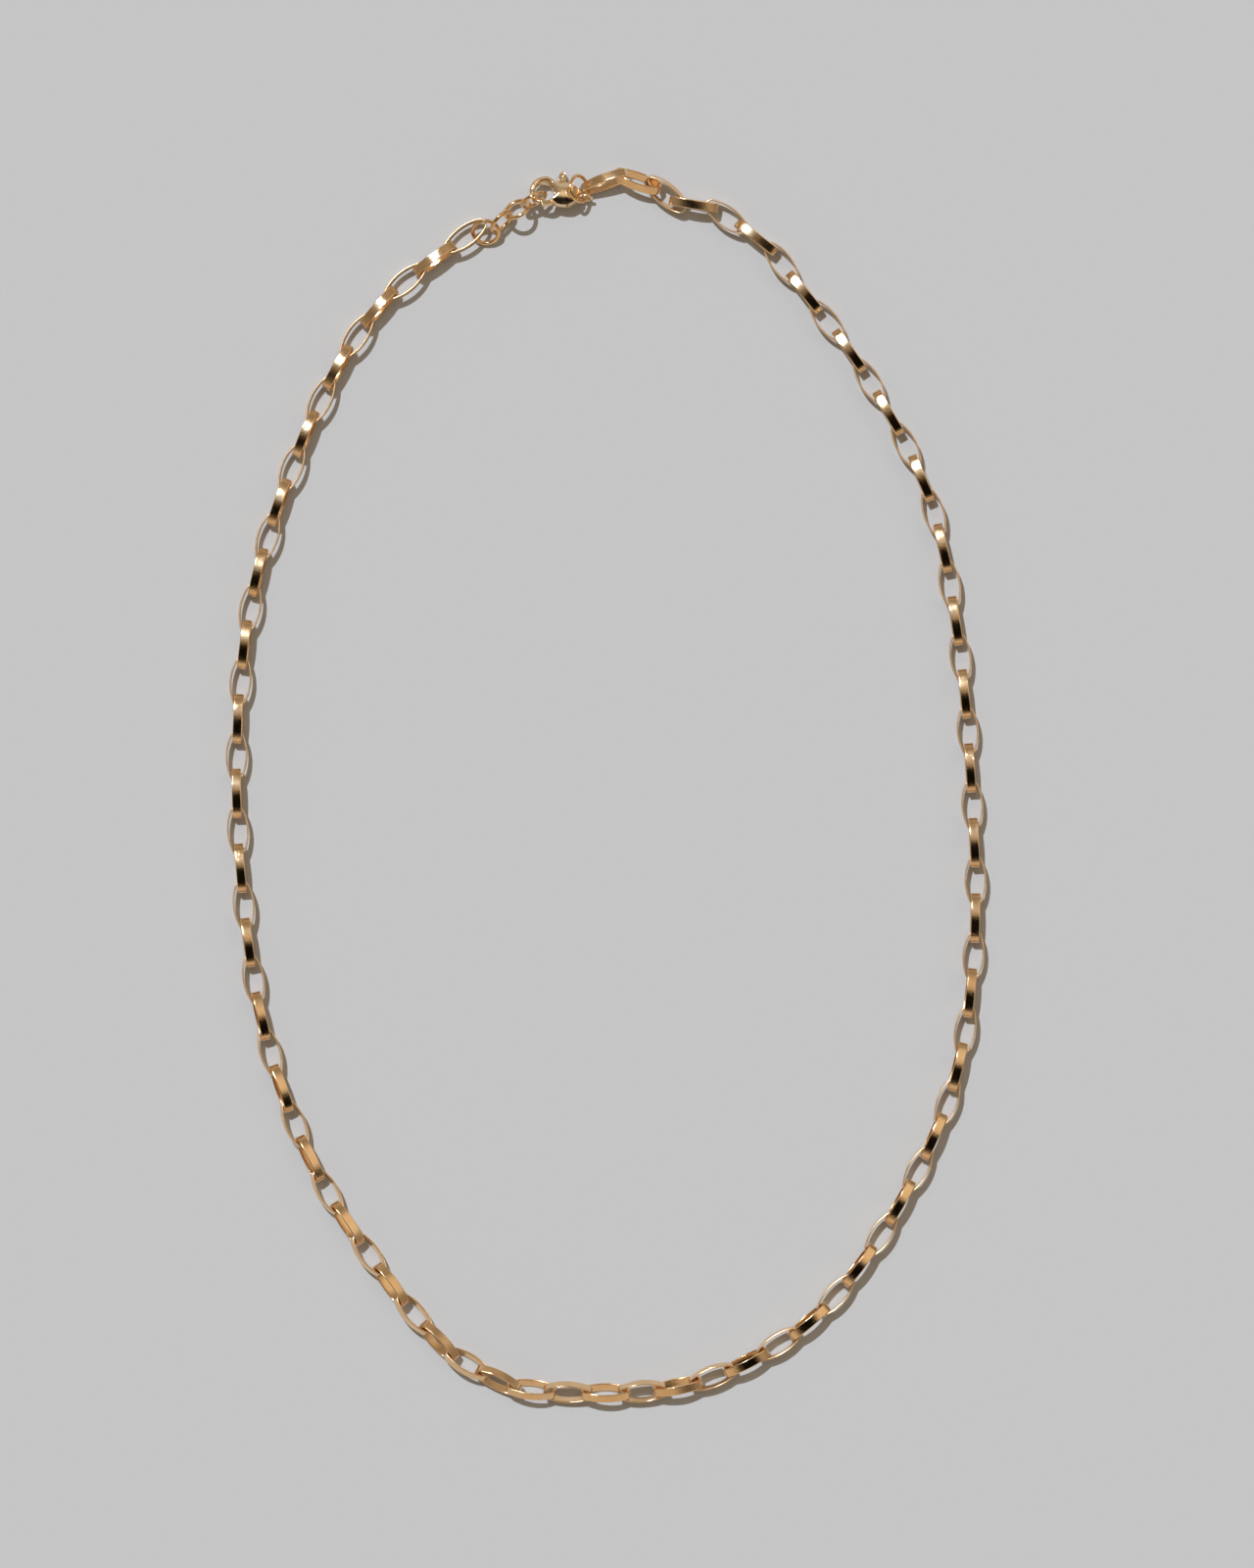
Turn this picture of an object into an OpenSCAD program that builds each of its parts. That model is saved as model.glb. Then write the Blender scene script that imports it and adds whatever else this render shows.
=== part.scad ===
// Flat oval link chain necklace with a lobster claw clasp, lying closed on a surface.
// Millimetres, +Z up. The clasp is at the top (+Y) of the loop, the surface is z = 0.

/* [Chain links] */
// Overall length of a link
link_length = 7.2; // [7.15:0.01:7.25]
// Overall width of a link across its sides
link_width = 3.15; // [3.1:0.01:3.15]
// Width of the strip that a link is bent from
strip_width = 1.3; // [1.0:0.05:1.3]
// Thickness of that strip
strip_thick = 0.25; // [0.2:0.01:0.25]
// Outer radius of a link's rounded ends
end_radius = 1.05; // [1.0:0.01:1.05]

/* [Rings] */
// Wire diameter of the four rings between the first link and the hook
ring_wire = 0.6; // [0.5:0.02:0.6]
// Mean diameter of those rings, middle of wire to middle of wire
ring_mean = 3.75; // [3.75:0.01:3.8]
// Wire diameter of the ring at the clasp's tail
tail_ring_wire = 0.52; // [0.44:0.02:0.52]
// Mean diameter of that ring
tail_ring_mean = 3.8; // [3.78:0.01:3.81]

/* [Clasp] */
// Outer radius of the hook
hook_outer = 2.25; // [2.2:0.01:2.25]
// Radius of the hook's eye
hook_inner = 1.45; // [1.45:0.01:1.5]
// Depth of the hook's band
hook_deep = 2.1; // [1.9:0.05:2.1]
// Greatest thickness of the body
body_thick = 2.7; // [2.6:0.05:2.7]
// Radius of the body's round part
body_radius = 2.0; // [1.95:0.01:2.05]
// Thickness of the lever
lever_thick = 0.8; // [0.6:0.05:0.8]
// Radius of the pin that the lever turns on
pin_radius = 0.3; // [0.25:0.01:0.3]

/* [Hidden] */
$fn = 64;
nudge = 0.01;

// a link's side arcs: their radius and where they meet the end arcs
half_length = link_length / 2;
half_width = link_width / 2;
end_at = half_length - end_radius;
side_radius = (end_at * end_at + half_width * half_width - end_radius * end_radius)
    / (2 * (half_width - end_radius));
meet_at = end_at * side_radius / (side_radius - end_radius);

// the points where two links meet, from the link ring down the left side, along the bottom
// and up the right side: [number of the point, x, y, roll of the chain]
route = [
    [0, -18.0, 80.9, 14],
    [1, -22.5, 77.6, 12],
    [3, -31.0, 71.0, 10],
    [5, -37.4, 62.7, 8],
    [8, -44.4, 48.3, 6],
    [12, -50.9, 28.2, 3],
    [16, -53.3, 6.9, 0],
    [20, -52.6, -14.7, -2],
    [24, -49.3, -36.0, -9],
    [28, -41.6, -56.4, -18],
    [32, -29.5, -74.4, -27],
    [33, -26.0, -78.4, -29],
    [34, -22.3, -82.3, -32],
    [35, -17.8, -84.9, -36],
    [36, -13.3, -87.1, -46],
    [37, -8.2, -87.6, -52],
    [39, 2.7, -87.8, -59],
    [41, 12.9, -86.4, -71],
    [43, 22.7, -82.1, -77],
    [45, 31.4, -75.7, -83],
    [48, 41.2, -62.6, -86],
    [52, 50.2, -43.3, -87],
    [56, 53.3, -21.9, -90],
    [60, 52.8, -0.2, -90],
    [64, 50.9, 21.1, -90],
    [68, 46.6, 41.9, -90],
    [72, 36.7, 60.6, -90],
    [75, 27.0, 73.3, -90],
    [76, 23.8, 77.5, -90],
    [77, 19.6, 80.7, -90]
];

// the slack links by the clasp: [link, x, y, z, heading, pitch, roll of the chain]
slack = [
    [77, 17.4, 82.1, 1.57, 144, 0, -90],
    [78, 12.7, 83.9, 1.74, 171, 3, -94],
    [79, 8.7, 85.38, 1.69, 140.6, 1.2, -112.3],
    [80, 4.56, 87.23, 1.66, 160.5, -0.7, -126.0],
    [81, -0.14, 87.17, 1.86, 199.9, -12.9, -158.6]
];
row_x = 1;
row_y = 2;
row_z = 3;
row_heading = 4;
row_pitch = 5;
row_roll = 6;
point_roll = 3;

// where the rings lie: [x, y, z, lean, direction that the ring's axis leans toward]
link_ring_at = [-17.36, 79.9, 1.72, 34, 264];
extension_1_at = [-15.05, 81.4, 2.07, 69, 316];
extension_2_at = [-12.82, 83.14, 2.53, 54, 119];
extension_3_at = [-10.42, 84.48, 2.64, 107, 117];
tail_ring_at = [-3.82, 86.11, 2.6, 49.9, 9.0];

// the clasp, in a frame of its own: x runs from the hook to the tail, y toward the spine
clasp_at = [-8.8, 85.6, 2.28];
clasp_heading = -7;
clasp_roll = -24;
clasp_pitch = 8;
pivot_x = 2.5;
pivot_y = -0.35;
tail_x = 6.0;
tail_mean = 0.8;
tail_wire = 0.23;
slot_gap = 0.05;
slot_from = 0.4;
slot_long = 3.1;
root_inset = 0.15;
gate_reach = 3.3;
tip_gap = 0.06;
lever_clear = 0.03;
pin_clear = 0.01;

function below(n) = max([for (i = [0 : len(route) - 2]) if (route[i][0] <= n) i]);

function slope(i) = let (a = max(i - 1, 0), b = min(i + 1, len(route) - 1))
    (route[b] - route[a]) / (route[b][0] - route[a][0]);

// a smooth curve through the rows of the route
function point(n) = let (i = below(n), h = route[i + 1][0] - route[i][0], u = (n - route[i][0]) / h)
    (2 * u * u * u - 3 * u * u + 1) * route[i] + (u * u * u - 2 * u * u + u) * h * slope(i)
    + (3 * u * u - 2 * u * u * u) * route[i + 1] + (u * u * u - u * u) * h * slope(i + 1);

// height of a link's middle when it or its neighbour touches the surface
function rest_height(roll) = max(
    half_width * abs(sin(roll)) + strip_width / 2 * abs(cos(roll)),
    half_width * abs(cos(roll)) + strip_width / 2 * abs(sin(roll)));

// every second link stands a quarter turn from its neighbours
function turn(k, roll) = roll + (k % 2 == 1 ? 90 : 0);

// a four arc oval: two side arcs and two end arcs
module link_outline(inset) {
    intersection() {
        translate([0, half_width - side_radius])
            circle(side_radius - inset, $fn = 256);
        translate([0, side_radius - half_width])
            circle(side_radius - inset, $fn = 256);
        square([2 * meet_at, link_width], center = true);
    }
    for (side = [-1, 1])
        translate([side * end_at, 0])
            circle(end_radius - inset);
}

module one_link() {
    linear_extrude(strip_width, center = true)
        difference() {
            link_outline(0);
            link_outline(strip_thick);
        }
}

module chain() {
    color("gold") {
        for (k = [0 : slack[0][0] - 1]) {
            from = point(k);
            to = point(k + 1);
            roll = (from[point_roll] + to[point_roll]) / 2;
            heading = atan2(to[row_y] - from[row_y], to[row_x] - from[row_x]);
            translate([(from[row_x] + to[row_x]) / 2, (from[row_y] + to[row_y]) / 2, rest_height(roll)])
                rotate([turn(k, roll), 0, heading])
                    one_link();
        }
        for (row = slack)
            translate([row[row_x], row[row_y], row[row_z]])
                rotate([turn(row[0], row[row_roll]), -row[row_pitch], row[row_heading]])
                    one_link();
    }
}

module ring(at, wire, mean) {
    translate([at[0], at[1], at[2]])
        rotate([0, at[3], at[4]])
            rotate_extrude()
                translate([mean / 2, 0])
                    circle(d = wire);
}

module link_ring() {
    color("orange")
        ring(link_ring_at, ring_wire, ring_mean);
}

module extension_ring_1() {
    color("goldenrod")
        ring(extension_1_at, ring_wire, ring_mean);
}

module extension_ring_2() {
    color("khaki")
        ring(extension_2_at, ring_wire, ring_mean);
}

module extension_ring_3() {
    color("goldenrod")
        ring(extension_3_at, ring_wire, ring_mean);
}

module tail_ring() {
    color("orange")
        ring(tail_ring_at, tail_ring_wire, tail_ring_mean);
}

module in_clasp() {
    translate(clasp_at)
        rotate([clasp_roll, clasp_pitch, clasp_heading])
            children();
}

// the body's pod: a teardrop plate, crowned lengthwise and crosswise by large arcs
module pod() {
    tail_end = 0.6;
    tail_gap = 2.75;
    side_cos = (body_radius - tail_end) / tail_gap;
    side_sin = sqrt(1 - side_cos * side_cos);
    translate([pivot_x, 0, 0])
        intersection() {
            linear_extrude(2 * body_thick, center = true) {
                circle(body_radius);
                translate([tail_gap, 0])
                    circle(tail_end);
                polygon([
                    [body_radius * side_cos, body_radius * side_sin],
                    [body_radius * side_cos, -body_radius * side_sin],
                    [tail_gap + tail_end * side_cos, -tail_end * side_sin],
                    [tail_gap + tail_end * side_cos, tail_end * side_sin]
                ]);
            }
            rotate([90, 0, 0])
                linear_extrude(3 * body_radius, center = true)
                    crown(body_thick / 2, 4.5);
            rotate([90, 0, 90])
                linear_extrude(5 * body_radius, center = true)
                    crown(body_thick / 2 + 0.1, 2.3);
        }
}

// a lens of two arcs that meet left and right
module crown(half_thick, radius) {
    intersection() {
        translate([0, half_thick - radius])
            circle(radius, $fn = 128);
        translate([0, radius - half_thick])
            circle(radius, $fn = 128);
    }
}

// the hook's band: a part ring of stadium section from inside the pod round to the tip
module hook() {
    start = 42;
    sweep = 208;
    band = (hook_outer - hook_inner) / 2;
    middle = (hook_outer + hook_inner) / 2;
    flat = hook_deep / 2 - band;
    rotate([0, 0, start])
        rotate_extrude(angle = sweep)
            translate([middle, 0]) {
                for (side = [-1, 1])
                    translate([0, side * flat])
                        circle(band);
                square([2 * band, 2 * flat], center = true);
            }
}

module clasp_body() {
    slot = lever_thick + 2 * slot_gap;
    color("darkgoldenrod")
        in_clasp()
            difference() {
                union() {
                    difference() {
                        pod();
                        cylinder(2 * body_thick, r = hook_inner, center = true);
                        translate([tail_x, 0, 0])
                            rotate([90, 0, 0])
                                cylinder(2 * body_thick, r = tail_mean, center = true);
                    }
                    hook();
                    // the tail eye stands across the body
                    translate([tail_x, 0, 0])
                        rotate([90, 0, 0])
                            rotate_extrude()
                                translate([tail_mean, 0])
                                    circle(tail_wire);
                }
                // the slot for the gate, the hub and the tab
                translate([slot_from, -3, -slot / 2])
                    cube([slot_long, 3.6, slot]);
                translate([1.55, 0.5, -slot / 2])
                    cube([2.2, 3, slot]);
                // the way of the gate's end past the hook's tip
                intersection() {
                    translate([pivot_x, pivot_y, 0])
                        cylinder(2 * body_thick, r = gate_reach + tip_gap, center = true);
                    translate([-2, -3, -body_thick])
                        cube([2.4, 2.4, 2 * body_thick]);
                }
                translate([pivot_x, pivot_y, 0])
                    cylinder(2 * body_thick, r = pin_radius + pin_clear, center = true);
            }
}

module clasp_lever() {
    color("peru")
        in_clasp()
            linear_extrude(lever_thick, center = true)
                difference() {
                    union() {
                        translate([pivot_x, pivot_y])
                            circle(0.85);
                        // the gate, a stretch of the hook's own circle
                        intersection() {
                            difference() {
                                circle(hook_outer - 0.1);
                                circle(hook_inner + nudge);
                            }
                            translate([pivot_x, pivot_y])
                                circle(gate_reach);
                            polygon([[0, 0], [-3, -6], [6, -6], [6, -0.6]]);
                        }
                        // the gate's root, which fills the slot as far as the body's back
                        difference() {
                            intersection() {
                                translate([pivot_x, 0])
                                    circle(body_radius - root_inset);
                                translate([slot_from + 0.6, -body_radius])
                                    square([slot_long - 0.7, body_radius]);
                            }
                            circle(hook_inner + nudge);
                        }
                        // the tab, a stem and a leaf
                        translate([pivot_x - 0.3, pivot_y])
                            square([0.6, 2.6]);
                        intersection() {
                            translate([pivot_x - 0.9, 2.5])
                                circle(1.4);
                            translate([pivot_x + 0.7, 2.5])
                                circle(1.4);
                        }
                    }
                    translate([pivot_x, pivot_y])
                        circle(pin_radius + lever_clear);
                }
}

module clasp_pin() {
    color("sienna")
        in_clasp()
            translate([pivot_x, pivot_y, 0])
                cylinder(body_thick - 0.1, r = pin_radius, center = true);
}

chain();
link_ring();
extension_ring_1();
extension_ring_2();
extension_ring_3();
clasp_body();
clasp_lever();
clasp_pin();
tail_ring();
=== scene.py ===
import math

import bpy
from mathutils import Euler, Matrix, Vector


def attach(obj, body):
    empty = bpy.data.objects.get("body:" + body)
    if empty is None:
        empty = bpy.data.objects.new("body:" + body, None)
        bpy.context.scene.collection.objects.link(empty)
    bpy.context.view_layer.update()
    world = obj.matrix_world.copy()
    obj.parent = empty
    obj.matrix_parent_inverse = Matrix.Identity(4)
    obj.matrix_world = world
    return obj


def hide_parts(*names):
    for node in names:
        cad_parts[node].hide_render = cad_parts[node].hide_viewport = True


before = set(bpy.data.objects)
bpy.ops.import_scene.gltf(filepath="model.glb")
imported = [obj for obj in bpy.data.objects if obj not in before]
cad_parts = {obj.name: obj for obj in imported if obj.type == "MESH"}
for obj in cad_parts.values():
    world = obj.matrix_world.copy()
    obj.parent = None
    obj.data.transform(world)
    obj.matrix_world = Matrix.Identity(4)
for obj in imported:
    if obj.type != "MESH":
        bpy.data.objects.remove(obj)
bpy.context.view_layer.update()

# ---------------------------------------------------------------- surface, camera and light
# A pale matt board that the necklace lies on, seen from straight above the middle of the
# picture, with a small hard lamp at the upper left and a dim room round it.
scene = bpy.context.scene
MM = 0.001
picture_middle = (3.06 * MM, 0.15 * MM)
camera_height = 1.5

camera_data = bpy.data.cameras.new("top_camera")
camera_data.sensor_fit = "VERTICAL"
camera_data.sensor_height = 36.0
camera_data.lens = 238.1
camera_data.clip_start = 0.01
camera_data.clip_end = 10.0
camera = bpy.data.objects.new("top_camera", camera_data)
camera.location = (*picture_middle, camera_height)
scene.collection.objects.link(camera)
scene.camera = camera

board_mesh = bpy.data.meshes.new("board")
board_half = 1.2
board_mesh.from_pydata(
    [(-board_half, -board_half, 0), (board_half, -board_half, 0),
     (board_half, board_half, 0), (-board_half, board_half, 0)],
    [], [(0, 1, 2, 3)])
board = bpy.data.objects.new("board", board_mesh)
scene.collection.objects.link(board)
board_paint = bpy.data.materials.new("board_paint")
board_paint.use_nodes = True
board_shader = board_paint.node_tree.nodes["Principled BSDF"]
board_shader.inputs["Base Color"].default_value = (0.57, 0.57, 0.57, 1)
board_shader.inputs["Roughness"].default_value = 0.85
board_shader.inputs["Specular IOR Level"].default_value = 0.2
board_mesh.materials.append(board_paint)

lamp_data = bpy.data.lights.new("hard_lamp", "SUN")
lamp_data.energy = 2.66
lamp_data.angle = math.radians(1.0)
lamp_data.color = (0.885, 0.945, 1.025)
lamp = bpy.data.objects.new("hard_lamp", lamp_data)
lamp_travel = Vector((0.312, -0.545, -1.0))
lamp.rotation_euler = lamp_travel.to_track_quat("-Z", "Y").to_euler()
scene.collection.objects.link(lamp)

room = bpy.data.worlds.new("dim_room")
room.use_nodes = True
room_nodes, room_wire = room.node_tree.nodes, room.node_tree.links.new
room_where = room_nodes.new("ShaderNodeTexCoord")
room_split = room_nodes.new("ShaderNodeSeparateXYZ")
room_wire(room_where.outputs["Generated"], room_split.inputs[0])


def room_range(source, start, end, low, high):
    """A soft step of brightness, from low at the start to high at the end of a value."""
    node = room_nodes.new("ShaderNodeMapRange")
    node.interpolation_type = "SMOOTHSTEP"
    node.inputs["From Min"].default_value = start
    node.inputs["From Max"].default_value = end
    node.inputs["To Min"].default_value = low
    node.inputs["To Max"].default_value = high
    room_wire(source, node.inputs["Value"])
    return node.outputs["Result"]


def room_lobe(toward, outer, inner, strength):
    """A round patch of light in one direction, full inside the inner angle, in degrees."""
    node = room_nodes.new("ShaderNodeVectorMath")
    node.operation = "DOT_PRODUCT"
    node.inputs[1].default_value = Vector(toward).normalized()
    room_wire(room_where.outputs["Generated"], node.inputs[0])
    return room_range(node.outputs["Value"], start=math.cos(math.radians(outer)),
                      end=math.cos(math.radians(inner)), low=0.0, high=strength)


def room_math(operation, first, second):
    """Joins two brightnesses of the room by adding or multiplying them."""
    node = room_nodes.new("ShaderNodeMath")
    node.operation = operation
    room_wire(first, node.inputs[0])
    room_wire(second, node.inputs[1])
    return node.outputs[0]


# the dull room: paler low down at the near side, a little at the far side, and at the right
near_side = room_range(room_split.outputs["Y"], start=-0.45, end=-0.7, low=0.28, high=0.58)
far_side = room_range(room_split.outputs["Y"], start=0.76, end=0.92, low=0.0, high=0.14)
pale_wall = room_lobe((0.50, 0.24, 0.83), outer=32, inner=20, strength=0.50)
room_sides = room_math("ADD", room_math("ADD", near_side, far_side), pale_wall)

# the dark shape over the table, an oval a little to the near side of straight above
dark_place = room_nodes.new("ShaderNodeMapping")
dark_place.vector_type = "TEXTURE"
dark_place.inputs["Location"].default_value = (0.08, -0.32, 0.0)
dark_place.inputs["Rotation"].default_value = (0.0, 0.0, math.radians(-12))
dark_place.inputs["Scale"].default_value = (0.70, 0.40, 1000.0)
dark_size = room_nodes.new("ShaderNodeVectorMath")
dark_size.operation = "LENGTH"
room_wire(room_where.outputs["Generated"], dark_place.inputs["Vector"])
room_wire(dark_place.outputs["Vector"], dark_size.inputs[0])
dark = room_range(dark_size.outputs["Value"], start=0.80, end=1.05, low=0.015, high=1.0)

room_glow = room_nodes["Background"]
room_glow.inputs["Color"].default_value = (1.0, 0.85, 0.66, 1)
room_wire(room_math("MULTIPLY", room_sides, dark), room_glow.inputs["Strength"])

# cool daylight round the lamp's own direction
daylight = room_nodes.new("ShaderNodeBackground")
daylight.inputs["Color"].default_value = (0.52, 0.84, 1.28, 1)
daylight_patch = room_lobe((-0.20, 0.36, 0.91), outer=13, inner=4, strength=0.85)
room_wire(daylight_patch, daylight.inputs["Strength"])
both = room_nodes.new("ShaderNodeAddShader")
room_wire(room_glow.outputs[0], both.inputs[0])
room_wire(daylight.outputs[0], both.inputs[1])
room_wire(both.outputs[0], room_nodes["World Output"].inputs["Surface"])
scene.world = room
scene.view_settings.view_transform = "Standard"


# ---------------------------------------------------------------- the chain
# Links of thin gold strip, each bent to an oval of four arcs and soldered, then polished.
# Every link stands a quarter turn from the next; the loop lies as its joints rest.
link_length, link_width = 7.2 * MM, 3.15 * MM
strip_width, strip_thick = 1.3 * MM, 0.25 * MM
strip_rounding, strip_flat_rest = 0.11 * MM, 0.03 * MM
link_end_radius = 1.05 * MM

# the points where two links meet: number, x, y in mm, roll of the chain
route = [
    (0, -18.0, 80.9, 14), (1, -22.5, 77.6, 12), (3, -31.0, 71.0, 10), (5, -37.4, 62.7, 8),
    (8, -44.4, 48.3, 6), (12, -50.9, 28.2, 3), (16, -53.3, 6.9, 0), (20, -52.6, -14.7, -2),
    (24, -49.3, -36.0, -9), (28, -41.6, -56.4, -18), (32, -29.5, -74.4, -27),
    (33, -26.0, -78.4, -29), (34, -22.3, -82.3, -32), (35, -17.8, -84.9, -36),
    (36, -13.3, -87.1, -46), (37, -8.2, -87.6, -52), (39, 2.7, -87.8, -59),
    (41, 12.9, -86.4, -71), (43, 22.7, -82.1, -77), (45, 31.4, -75.7, -83),
    (48, 41.2, -62.6, -86), (52, 50.2, -43.3, -87), (56, 53.3, -21.9, -90),
    (60, 52.8, -0.2, -90), (64, 50.9, 21.1, -90), (68, 46.6, 41.9, -90),
    (72, 36.7, 60.6, -90), (75, 27.0, 73.3, -90), (76, 23.8, 77.5, -90), (77, 19.6, 80.7, -90)]

# the slack links by the clasp: link, x, y, z in mm, heading, pitch, roll of the chain
slack = [
    (77, 17.4, 82.1, 1.57, 144, 0, -90), (78, 12.7, 83.9, 1.74, 171, 3, -94),
    (79, 8.7, 85.38, 1.69, 140.6, 1.2, -112.3), (80, 4.56, 87.23, 1.66, 160.5, -0.7, -126.0),
    (81, -0.14, 87.17, 1.86, 199.9, -12.9, -158.6)]


def route_slope(i):
    """How fast x, y and roll change with the link number at one row of the route."""
    a, b = max(i - 1, 0), min(i + 1, len(route) - 1)
    step = route[b][0] - route[a][0]
    return [(q - p) / step for p, q in zip(route[a], route[b])]


def route_point(n):
    """The joint with this number, on the smooth cubic through the rows of the route."""
    i = max(k for k in range(len(route) - 1) if route[k][0] <= n)
    h = route[i + 1][0] - route[i][0]
    u = (n - route[i][0]) / h
    weights = (2 * u ** 3 - 3 * u ** 2 + 1, (u ** 3 - 2 * u ** 2 + u) * h,
               3 * u ** 2 - 2 * u ** 3, (u ** 3 - u ** 2) * h)
    rows = (route[i], route_slope(i), route[i + 1], route_slope(i + 1))
    return [sum(w * row[c] for w, row in zip(weights, rows)) for c in range(4)]


def quarter_turn(k, roll):
    """The roll of one link: every second link is turned by 90 degrees."""
    return roll + (90 if k % 2 else 0)


def link_places():
    """The middle and the angles of every link, with the ones on the route on the board."""
    places = []
    half_w, half_s = link_width / 2, strip_width / 2
    for k in range(slack[0][0]):
        a, b = route_point(k), route_point(k + 1)
        roll = (a[3] + b[3]) / 2
        s, c = abs(math.sin(math.radians(roll))), abs(math.cos(math.radians(roll)))
        height = max(half_w * s + half_s * c, half_w * c + half_s * s)
        heading = math.atan2(b[2] - a[2], b[1] - a[1])
        places.append((((a[1] + b[1]) / 2 * MM, (a[2] + b[2]) / 2 * MM, height),
                       (math.radians(quarter_turn(k, roll)), 0.0, heading)))
    for k, x, y, z, heading, pitch, roll in slack:
        places.append(((x * MM, y * MM, z * MM),
                       (math.radians(quarter_turn(k, roll)), math.radians(-pitch),
                        math.radians(heading))))
    return places


def closed_path(name, points):
    """A closed flat path that a Geometry Nodes tree can sweep along or sweep with."""
    data = bpy.data.curves.new(name, "CURVE")
    data.dimensions = "3D"
    spline = data.splines.new("POLY")
    spline.points.add(len(points) - 1)
    for target, p in zip(spline.points, points):
        target.co = (p[0], p[1], 0, 1)
    spline.use_cyclic_u = True
    path = bpy.data.objects.new(name, data)
    scene.collection.objects.link(path)
    return path


def oval_points(inset, side_steps, end_steps):
    """The link's oval of two long side arcs and two end arcs, inset from its outside."""
    a, b, r = link_length / 2 - inset, link_width / 2 - inset, link_end_radius - inset
    side_radius = ((a - r) ** 2 + b * b - r * r) / (2 * (b - r))
    join = math.atan2(side_radius - b, a - r)
    quarter = []
    for i in range(side_steps):
        t = math.pi / 2 - (math.pi / 2 - join) * (i + 0.5) / side_steps
        quarter.append((side_radius * math.cos(t), b - side_radius + side_radius * math.sin(t)))
    for i in range(end_steps):
        t = join * (1 - (i + 0.5) / end_steps)
        quarter.append((a - r + r * math.cos(t), r * math.sin(t)))
    lower = [(x, -y) for x, y in reversed(quarter)]
    left = [(-x, -y) for x, y in quarter] + [(-x, y) for x, y in reversed(quarter)]
    return (quarter + lower + left)[::-1]


def strip_points(corner_steps):
    """The strip's rounded section, whose flats end in a close pair of points to shade flat."""
    points = []
    for sx, sy, start in ((1, 1, 0), (-1, 1, 90), (-1, -1, 180), (1, -1, 270)):
        cx = sx * (strip_thick / 2 - strip_rounding)
        cy = sy * (strip_width / 2 - strip_rounding)
        corner = []
        for i in range(corner_steps + 1):
            t = math.radians(start + 90 * i / corner_steps)
            corner.append((cx + strip_rounding * math.cos(t), cy + strip_rounding * math.sin(t)))
        rest = (cx + sx * strip_rounding, cy - sy * strip_flat_rest)
        if sx * sy > 0:
            corner.insert(0, rest)
        else:
            corner.append(rest)
        points += corner
    return points


def fresh_tree(name, sockets):
    """An empty Geometry Nodes tree with the named inputs that its piece needs."""
    tree = bpy.data.node_groups.new(name, "GeometryNodeTree")
    tree.interface.new_socket("Geometry", in_out="OUTPUT", socket_type="NodeSocketGeometry")
    tree.interface.new_socket("Geometry", in_out="INPUT", socket_type="NodeSocketGeometry")
    for label, kind in sockets:
        tree.interface.new_socket(label, in_out="INPUT", socket_type=kind)
    return tree, tree.nodes.new("NodeGroupInput"), tree.nodes.new("NodeGroupOutput")


def grown_mesh(name, seed_object, tree, values):
    """Runs a tree on an object and keeps the result as a plain mesh object of that name."""
    modifier = seed_object.modifiers.new("grow", "NODES")
    modifier.node_group = tree
    sockets = {s.name: s.identifier for s in tree.interface.items_tree if s.in_out == "INPUT"}
    for label, value in values.items():
        modifier[sockets[label]] = value
    seen = seed_object.evaluated_get(bpy.context.evaluated_depsgraph_get())
    mesh = bpy.data.meshes.new_from_object(seen)
    seed_object.modifiers.remove(modifier)
    mesh.name = name
    piece = bpy.data.objects.new(name, mesh)
    scene.collection.objects.link(piece)
    return piece


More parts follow.
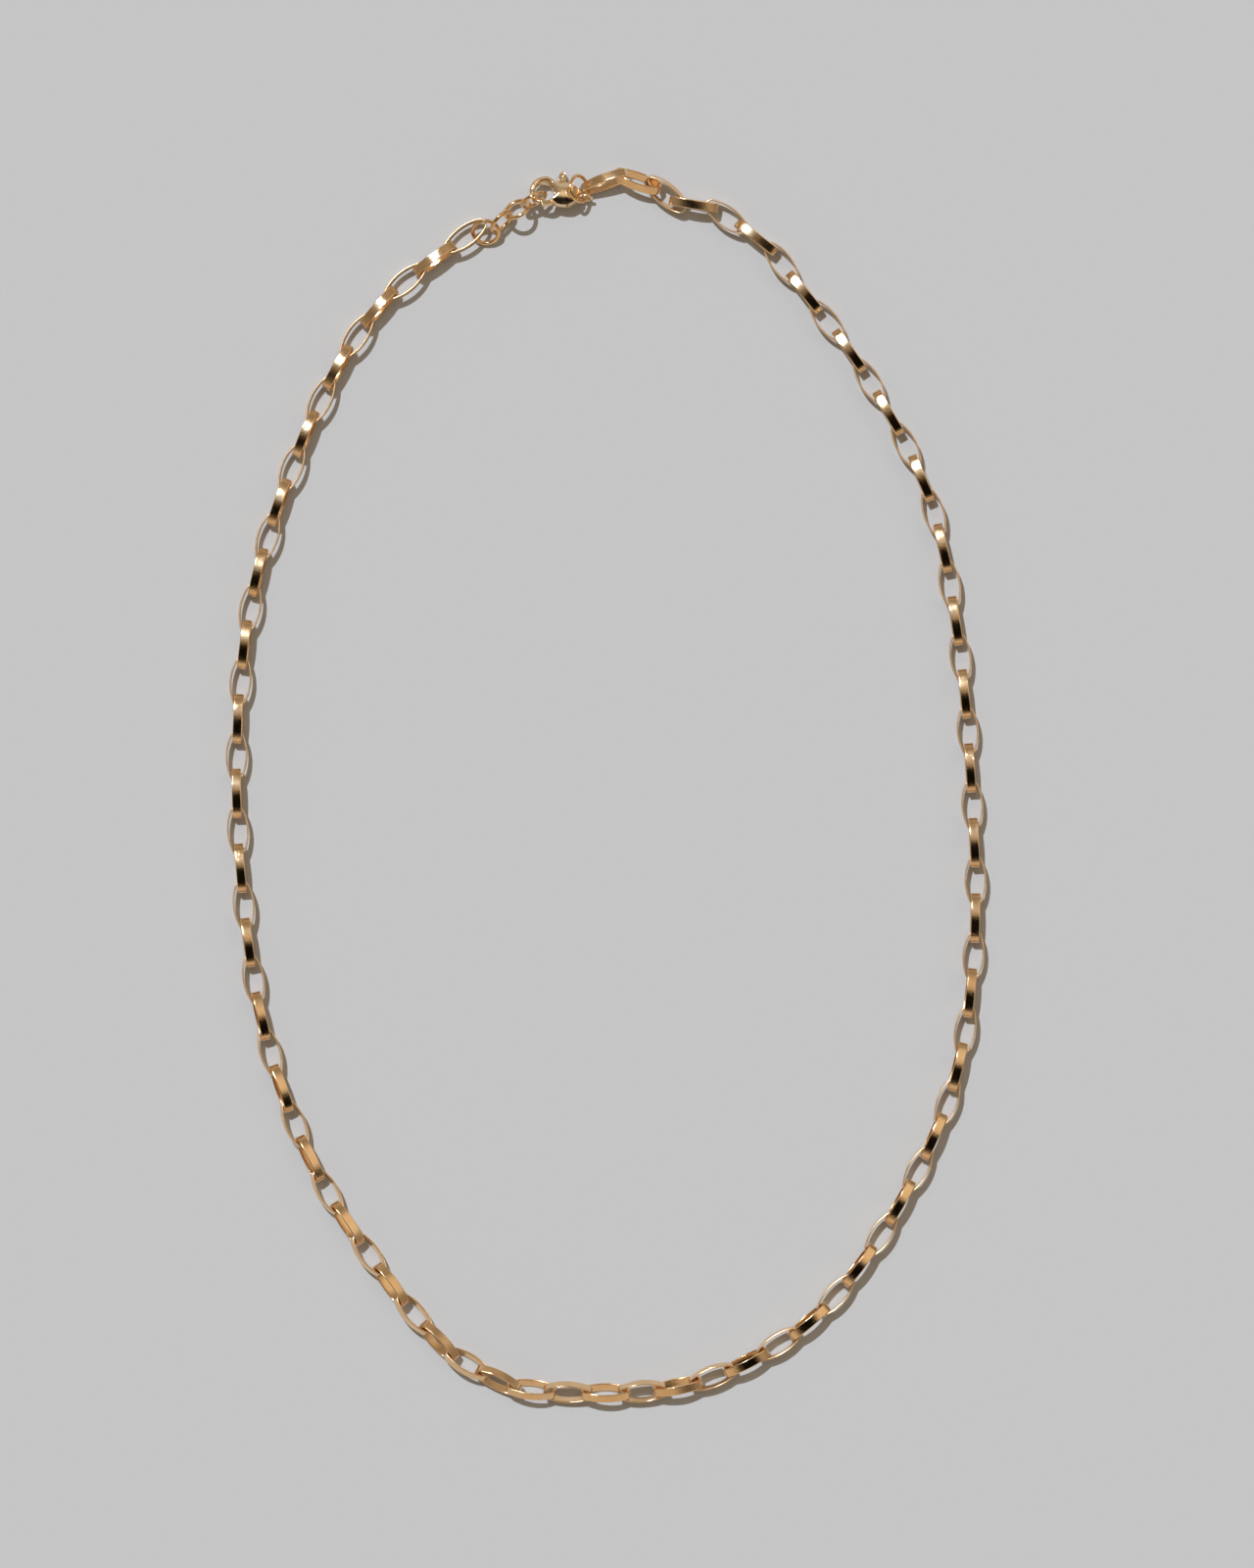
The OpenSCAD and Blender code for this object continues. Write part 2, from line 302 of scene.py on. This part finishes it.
def polished_gold(name, colour, shade, roughness, speckle, grain):
    """Polished gold alloy: slow changes of tone, soft wear, and a fine uneven skin.

    The tone changes between colour and shade, the wear between the two roughnesses.
    speckle is the strength of the skin's bumps, and grain how many there are to a metre."""
    material = bpy.data.materials.new(name)
    material.use_nodes = True
    nodes, links = material.node_tree.nodes, material.node_tree.links
    shader = nodes["Principled BSDF"]
    shader.inputs["Metallic"].default_value = 1.0
    where = nodes.new("ShaderNodeTexCoord")

    def noise(scale, detail):
        node = nodes.new("ShaderNodeTexNoise")
        node.inputs["Scale"].default_value = scale
        node.inputs["Detail"].default_value = detail
        links.new(where.outputs["Object"], node.inputs["Vector"])
        return node

    tone = noise(scale=450.0, detail=2.0)
    tone_ramp = nodes.new("ShaderNodeValToRGB")
    tone_ramp.color_ramp.elements[0].position = 0.35
    tone_ramp.color_ramp.elements[0].color = (*shade, 1)
    tone_ramp.color_ramp.elements[1].position = 0.65
    tone_ramp.color_ramp.elements[1].color = (*colour, 1)
    links.new(tone.outputs["Fac"], tone_ramp.inputs["Fac"])
    links.new(tone_ramp.outputs["Color"], shader.inputs["Base Color"])
    wear = noise(scale=1500.0, detail=3.0)
    wear_range = nodes.new("ShaderNodeMapRange")
    wear_range.inputs["From Min"].default_value = 0.3
    wear_range.inputs["From Max"].default_value = 0.7
    wear_range.inputs["To Min"].default_value = roughness[0]
    wear_range.inputs["To Max"].default_value = roughness[1]
    links.new(wear.outputs["Fac"], wear_range.inputs["Value"])
    # the strip's narrow edges are left satin by the polishing, the rest is bright
    edge = nodes.new("ShaderNodeAttribute")
    edge.attribute_name = "satin_edge"
    satin = nodes.new("ShaderNodeMapRange")
    satin.inputs["From Min"].default_value = 0.75
    satin.inputs["From Max"].default_value = 0.95
    satin.inputs["To Max"].default_value = 0.22
    roughness_sum = nodes.new("ShaderNodeMath")
    roughness_sum.operation = "ADD"
    links.new(edge.outputs["Fac"], satin.inputs["Value"])
    links.new(wear_range.outputs["Result"], roughness_sum.inputs[0])
    links.new(satin.outputs["Result"], roughness_sum.inputs[1])
    links.new(roughness_sum.outputs[0], shader.inputs["Roughness"])
    skin = noise(scale=grain, detail=3.0)
    skin.inputs["Roughness"].default_value = 0.65
    bump = nodes.new("ShaderNodeBump")
    bump.inputs["Strength"].default_value = speckle
    bump.inputs["Distance"].default_value = 0.018 * MM
    links.new(skin.outputs["Fac"], bump.inputs["Height"])
    links.new(bump.outputs["Normal"], shader.inputs["Normal"])
    return material


link_gold = polished_gold(
    "link_gold", colour=(0.95, 0.665, 0.395), shade=(0.88, 0.585, 0.31),
    roughness=(0.07, 0.14), speckle=1.0, grain=5200.0)

# the strip is swept once round the oval, then set on every place with that place's turn
chain_tree, entry, leave = fresh_tree("links_on_route", [
    ("Link outline", "NodeSocketObject"), ("Strip profile", "NodeSocketObject"),
    ("Finish", "NodeSocketMaterial")])
outline_info = chain_tree.nodes.new("GeometryNodeObjectInfo")
profile_info = chain_tree.nodes.new("GeometryNodeObjectInfo")
sweep = chain_tree.nodes.new("GeometryNodeCurveToMesh")
facing = chain_tree.nodes.new("GeometryNodeInputNormal")
facing_parts = chain_tree.nodes.new("ShaderNodeSeparateXYZ")
facing_up = chain_tree.nodes.new("ShaderNodeMath")
facing_up.operation = "ABSOLUTE"
keep_edge = chain_tree.nodes.new("GeometryNodeStoreNamedAttribute")
keep_edge.data_type = "FLOAT"
keep_edge.domain = "POINT"
keep_edge.inputs["Name"].default_value = "satin_edge"
turn = chain_tree.nodes.new("GeometryNodeInputNamedAttribute")
turn.data_type = "FLOAT_VECTOR"
turn.inputs["Name"].default_value = "turn"
to_points = chain_tree.nodes.new("GeometryNodeMeshToPoints")
to_rotation = chain_tree.nodes.new("FunctionNodeEulerToRotation")
place_links = chain_tree.nodes.new("GeometryNodeInstanceOnPoints")
realize = chain_tree.nodes.new("GeometryNodeRealizeInstances")
smooth = chain_tree.nodes.new("GeometryNodeSetShadeSmooth")
finish_links = chain_tree.nodes.new("GeometryNodeSetMaterial")
wire = chain_tree.links.new
wire(entry.outputs["Link outline"], outline_info.inputs["Object"])
wire(entry.outputs["Strip profile"], profile_info.inputs["Object"])
wire(outline_info.outputs["Geometry"], sweep.inputs["Curve"])
wire(profile_info.outputs["Geometry"], sweep.inputs["Profile Curve"])
wire(facing.outputs["Normal"], facing_parts.inputs[0])
wire(facing_parts.outputs["Z"], facing_up.inputs[0])
wire(facing_up.outputs[0], keep_edge.inputs["Value"])
wire(sweep.outputs["Mesh"], keep_edge.inputs["Geometry"])
wire(keep_edge.outputs["Geometry"], smooth.inputs["Geometry"])
wire(smooth.outputs["Geometry"], place_links.inputs["Instance"])
wire(entry.outputs["Geometry"], to_points.inputs["Mesh"])
wire(to_points.outputs["Points"], place_links.inputs["Points"])
wire(turn.outputs["Attribute"], to_rotation.inputs["Euler"])
wire(to_rotation.outputs["Rotation"], place_links.inputs["Rotation"])
wire(place_links.outputs["Instances"], realize.inputs["Geometry"])
wire(realize.outputs["Geometry"], finish_links.inputs["Geometry"])
wire(entry.outputs["Finish"], finish_links.inputs["Material"])
wire(finish_links.outputs["Geometry"], leave.inputs["Geometry"])

places = link_places()
seeds_mesh = bpy.data.meshes.new("link_middles")
seeds_mesh.from_pydata([p for p, _ in places], [], [])
turns = seeds_mesh.attributes.new("turn", "FLOAT_VECTOR", "POINT")
for item, (_, angles) in zip(turns.data, places):
    item.vector = angles
seeds = bpy.data.objects.new("link_middles", seeds_mesh)
scene.collection.objects.link(seeds)
link_outline = closed_path("link_outline", oval_points(
    inset=strip_thick / 2, side_steps=4, end_steps=7))
strip_profile = closed_path("strip_profile", strip_points(corner_steps=3))
chain = grown_mesh("gold_chain", seeds, chain_tree, {
    "Link outline": link_outline, "Strip profile": strip_profile, "Finish": link_gold})
for helper in (seeds, link_outline, strip_profile):
    bpy.data.objects.remove(helper)
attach(chain, "root")
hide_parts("chain")


# ---------------------------------------------------------------- the jump rings
# Round gold wire bent to a ring, with the cut of each ring closed end to end.
# Four join the chain's first link to the hook, and one joins the tail to the last link.

# node, wire and mean diameter in mm, middle in mm, turn in degrees, where its seam is
ring_rows = [
    ("link_ring", 0.60, 3.75, (-17.36, 79.9, 1.72), (0, 34, 264), 20),
    ("extension_ring_1", 0.60, 3.75, (-15.05, 81.4, 2.07), (0, 69, 316), 200),
    ("extension_ring_2", 0.60, 3.75, (-12.82, 83.14, 2.53), (0, 54, 119), 90),
    ("extension_ring_3", 0.60, 3.75, (-10.42, 84.48, 2.64), (0, 107, 117), 150),
    ("tail_ring", 0.52, 3.80, (-3.82, 86.11, 2.6), (0, 49.9, 9.0), 260)]
ring_gold = polished_gold(
    "ring_gold", colour=(0.92, 0.61, 0.32), shade=(0.83, 0.52, 0.24),
    roughness=(0.08, 0.14), speckle=0.6, grain=4000.0)

ring_tree, entry, leave = fresh_tree("wire_ring", [
    ("Mean diameter", "NodeSocketFloat"), ("Wire", "NodeSocketFloat"),
    ("Seam", "NodeSocketFloat"), ("Place", "NodeSocketVector"),
    ("Turn", "NodeSocketVector"), ("Finish", "NodeSocketMaterial")])
wire = ring_tree.links.new


def radius_of(label):
    """Half of one of the ring's two diameters, since the tree's circles take a radius."""
    half = ring_tree.nodes.new("ShaderNodeMath")
    half.operation = "MULTIPLY"
    half.inputs[1].default_value = 0.5
    wire(entry.outputs[label], half.inputs[0])
    return half.outputs[0]


# the arc stops a hair short of a full round, and the gap is the ring's seam
ring_arc = ring_tree.nodes.new("GeometryNodeCurveArc")
ring_arc.inputs["Resolution"].default_value = 72
ring_arc.inputs["Sweep Angle"].default_value = math.radians(359.4)
wire_circle = ring_tree.nodes.new("GeometryNodeCurvePrimitiveCircle")
wire_circle.inputs["Resolution"].default_value = 16
ring_sweep = ring_tree.nodes.new("GeometryNodeCurveToMesh")
ring_sweep.inputs["Fill Caps"].default_value = True
seam_turn = ring_tree.nodes.new("GeometryNodeTransform")
seam_angle = ring_tree.nodes.new("ShaderNodeCombineXYZ")
ring_place = ring_tree.nodes.new("GeometryNodeTransform")
ring_smooth = ring_tree.nodes.new("GeometryNodeSetShadeSmooth")
ring_realize = ring_tree.nodes.new("GeometryNodeRealizeInstances")
ring_finish = ring_tree.nodes.new("GeometryNodeSetMaterial")
wire(radius_of("Mean diameter"), ring_arc.inputs["Radius"])
wire(radius_of("Wire"), wire_circle.inputs["Radius"])
wire(ring_arc.outputs["Curve"], ring_sweep.inputs["Curve"])
wire(wire_circle.outputs["Curve"], ring_sweep.inputs["Profile Curve"])
wire(ring_sweep.outputs["Mesh"], ring_smooth.inputs["Geometry"])
wire(ring_smooth.outputs["Geometry"], seam_turn.inputs["Geometry"])
wire(entry.outputs["Seam"], seam_angle.inputs["Z"])
wire(seam_angle.outputs["Vector"], seam_turn.inputs["Rotation"])
wire(seam_turn.outputs["Geometry"], ring_place.inputs["Geometry"])
wire(entry.outputs["Place"], ring_place.inputs["Translation"])
wire(entry.outputs["Turn"], ring_place.inputs["Rotation"])
wire(ring_place.outputs["Geometry"], ring_realize.inputs["Geometry"])
wire(ring_realize.outputs["Geometry"], ring_finish.inputs["Geometry"])
wire(entry.outputs["Finish"], ring_finish.inputs["Material"])
wire(ring_finish.outputs["Geometry"], leave.inputs["Geometry"])

ring_seed = bpy.data.objects.new("ring_seed", bpy.data.meshes.new("ring_seed"))
scene.collection.objects.link(ring_seed)
for node, thick, mean, place, lean, seam in ring_rows:
    ring = grown_mesh("gold_" + node, ring_seed, ring_tree, {
        "Mean diameter": mean * MM, "Wire": thick * MM, "Seam": math.radians(seam),
        "Place": [v * MM for v in place], "Turn": [math.radians(v) for v in lean],
        "Finish": ring_gold})
    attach(ring, "root")
    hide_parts(node)
bpy.data.objects.remove(ring_seed)


# ---------------------------------------------------------------- the clasp
# A cast lobster claw clasp: a teardrop body with its hook and tail eye in one piece, and a
# lever with a thumb tab on a riveted pin. Tumble polished, so every edge is softly rounded.
clasp_gold = polished_gold(
    "clasp_gold", colour=(0.94, 0.71, 0.44), shade=(0.86, 0.61, 0.36),
    roughness=(0.12, 0.26), speckle=1.0, grain=4200.0)

# the clasp's own frame, in mm: x from the hook's eye to the tail, z across the body
clasp_turn = Euler([math.radians(v) for v in (-24, 8, -7)]).to_matrix().to_4x4()
to_clasp = (Matrix.Translation((-8.8 * MM, 85.6 * MM, 2.28 * MM)) @ clasp_turn).inverted()
from_clasp = to_clasp.inverted()


def bake_modifiers(piece):
    """Keeps what the piece's modifiers make of it as its plain mesh."""
    worn = bpy.data.meshes.new_from_object(
        piece.evaluated_get(bpy.context.evaluated_depsgraph_get()))
    piece.modifiers.clear()
    piece.data = worn


def tumbled(node, name, voxel, rounds):
    """A copy of a CAD solid with its sharp edges worn round, as tumbling does."""
    piece = bpy.data.objects.new(name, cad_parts[node].data.copy())
    scene.collection.objects.link(piece)
    weld = piece.modifiers.new("weld", "WELD")
    weld.merge_threshold = 0.0005 * MM
    fine = piece.modifiers.new("fine", "REMESH")
    fine.mode = "VOXEL"
    fine.voxel_size = voxel
    wear = piece.modifiers.new("wear", "SMOOTH")
    wear.factor = 0.5
    wear.iterations = rounds
    bake_modifiers(piece)
    return piece


def finish_casting(piece, node, body):
    """Gives a piece of the clasp its gold and the body it rides, and hides the node it replaces.
    """
    piece.data.name = piece.name
    for face in piece.data.polygons:
        face.use_smooth = True
    piece.data.materials.clear()
    piece.data.materials.append(clasp_gold)
    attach(piece, body)
    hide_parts(node)


# the dome, in mm: its height and its fall to the sides on the body, and the hook band's middle
# radius and its fall to both edges
crown_high, crown_fall = 1.36, 0.27
band_radius, band_fall = 1.82, 0.55
# how fast the hook's band thins toward its tip, down and to the left
hook_outer, taper_down, taper_left = 2.25, 0.15, 0.10
# where the hook runs out into the body, and over what length
neck_start, neck_long = 0.4, 1.4
# the lever's slot keeps its walls, which stand this far from the body's middle plane
slot_wall = 0.5

# the body's flat crown and the hook's band are ground to one dome
clasp_body = tumbled("clasp_body", "clasp_cast_body", voxel=0.045 * MM, rounds=10)
for vertex in clasp_body.data.vertices:
    spot = to_clasp @ vertex.co / MM
    high = abs(spot.z)
    past_neck = spot.x > neck_start
    if past_neck and high < slot_wall:
        continue
    past_hook = min(max((spot.x - neck_start) / neck_long, 0), 1)
    high -= past_hook * max(high - crown_high + crown_fall * spot.y ** 2, 0)
    off_band = math.hypot(spot.x, spot.y) - band_radius
    high -= (1 - past_hook) * band_fall * off_band ** 2 * high
    thinned = (taper_down * min(max(hook_outer - spot.y, 0), hook_outer)
               + taper_left * max(-spot.x, 0))
    high -= (1 - past_hook) * thinned * high
    if past_neck:
        high = max(high, slot_wall)
    spot.z = math.copysign(high, spot.z)
    vertex.co = from_clasp @ (spot * MM)

# then the body is polished smooth from its neck to its tail, and the hook's tip a little
polish_fade_in, polish_fade_out, tail_start = 0.8, 0.5, 5.0
tip_top, tip_left, tip_fade, tip_polish = -0.9, -1.4, 0.6, 0.5
polished = clasp_body.vertex_groups.new(name="dome")
for vertex in clasp_body.data.vertices:
    spot = to_clasp @ vertex.co / MM
    weight = min(max((spot.x - neck_start) / polish_fade_in, 0),
                 max((tail_start - spot.x) / polish_fade_out, 0), 1)
    if spot.x < neck_start and spot.y < tip_top:
        weight = tip_polish * min(max((spot.x - tip_left) / tip_fade, 0), 1)
    if weight:
        polished.add([vertex.index], weight, "REPLACE")
polish = clasp_body.modifiers.new("polish", "SMOOTH")
polish.factor = 0.5
polish.iterations = 90
polish.vertex_group = "dome"
bake_modifiers(clasp_body)
clasp_body.vertex_groups.clear()
finish_casting(clasp_body, "clasp_body", "root")

# the lever's edges are worn, and its tab's leaf is pressed hollow for the thumb
leaf_along, leaf_up, leaf_wide, leaf_tall, leaf_deep = 2.4, 2.75, 0.5, 0.8, 0.26
lever = tumbled("clasp_lever", "clasp_cast_lever", voxel=0.04 * MM, rounds=4)
for vertex in lever.data.vertices:
    spot = to_clasp @ vertex.co / MM
    off = ((spot.x - leaf_along) / leaf_wide) ** 2 + ((spot.y - leaf_up) / leaf_tall) ** 2
    if spot.z > 0 and off < 1:
        spot.z -= leaf_deep * (1 - off) ** 2
        vertex.co = from_clasp @ (spot * MM)
finish_casting(lever, "clasp_lever", "lever")

# the pin is riveted: its ends are spread in their holes and polished level with the dome
rivet_along, rivet_up, rivet_spread = 2.5, -0.35, 1.2
shank_half, end_half = 1.05, 1.2
rivet_proud, rivet_sunk = 0.04, 0.03
rivet = tumbled("clasp_pin", "clasp_rivet", voxel=0.03 * MM, rounds=2)
for vertex in rivet.data.vertices:
    spot = to_clasp @ vertex.co / MM
    if abs(spot.z) > shank_half:
        spot.x = rivet_along + rivet_spread * (spot.x - rivet_along)
        spot.y = rivet_up + rivet_spread * (spot.y - rivet_up)
    if abs(spot.z) > end_half:
        level = crown_high - crown_fall * spot.y ** 2 - rivet_sunk
        spot.z = math.copysign(min(abs(spot.z) + rivet_proud, level), spot.z)
    vertex.co = from_clasp @ (spot * MM)
finish_casting(rivet, "clasp_pin", "root")
